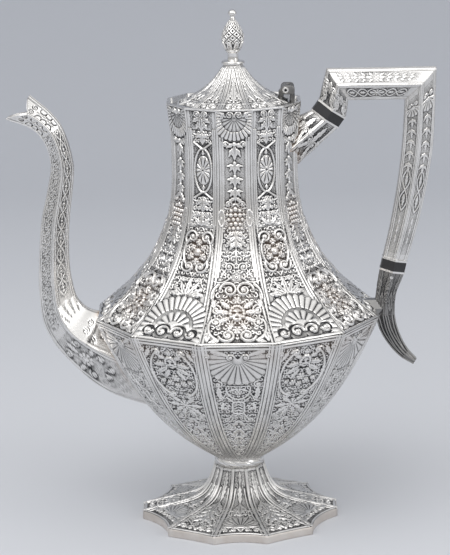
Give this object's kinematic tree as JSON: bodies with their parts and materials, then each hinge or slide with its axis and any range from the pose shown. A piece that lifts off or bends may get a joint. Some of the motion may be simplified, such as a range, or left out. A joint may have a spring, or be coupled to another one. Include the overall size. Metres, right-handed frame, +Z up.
{
  "type": "coffee pot",
  "caption": "Tall panelled silver coffee pot with a pear body on a scalloped foot, an S-shaped spout, an insulated angular handle and a hinged tent lid with a pine-cone finial.",
  "frame": {"origin": "on the pot's axis, in the plane of the foot's underside", "axes": "+Z up; +X from the axis towards the handle, so the spout is at -X; +Y to the far side"},
  "size_m": [0.2148, 0.1414, 0.2625],
  "materials": {
    "chased_silver": "chased relief, bright on the high parts and oxidised in the hollows",
    "plain_silver": "polished",
    "fitting_silver": "dulled by use",
    "insulator": "dark, fine grained, waxed"
  },
  "bodies": {
    "pot": {"bowl_shell": "chased_silver", "shoulder_shell": "chased_silver", "rim_ledge": "plain_silver", "foot_rim": "plain_silver", "foot_shell": "chased_silver", "foot_collar": "plain_silver", "spout_tube": "chased_silver", "spout_lip": "chased_silver", "upper_socket": "chased_silver", "upper_socket_ferrule": "plain_silver", "upper_insulator": "insulator", "elbow_ferrule": "plain_silver", "handle_elbow": "chased_silver", "handle_bar": "chased_silver", "handle_grip": "chased_silver", "grip_ferrule": "plain_silver", "lower_insulator": "insulator", "lower_socket_ferrule": "plain_silver", "lower_socket": "chased_silver", "handle_tail": "plain_silver", "handle_strut": "plain_silver", "insulator_pins": "fitting_silver", "hinge_body_leaf": "fitting_silver", "hinge_pin": "fitting_silver"},
    "lid": {"lid_shell": "chased_silver", "lid_flange": "plain_silver", "hinge_lid_leaf": "fitting_silver", "finial_disc": "plain_silver", "finial_stem": "plain_silver", "finial_calyx": "chased_silver", "finial_cone": "chased_silver", "finial_bud": "chased_silver", "finial_stud": "fitting_silver", "finial_washer": "fitting_silver", "finial_nut": "fitting_silver"}
  },
  "joints": [
    {"name": "lid_hinge", "type": "hinge", "parent": "pot", "child": "lid", "pos_m": [0.0259, 0, 0.2228], "axis": [0, 1, 0], "range_deg": [0, 100]}
  ]
}
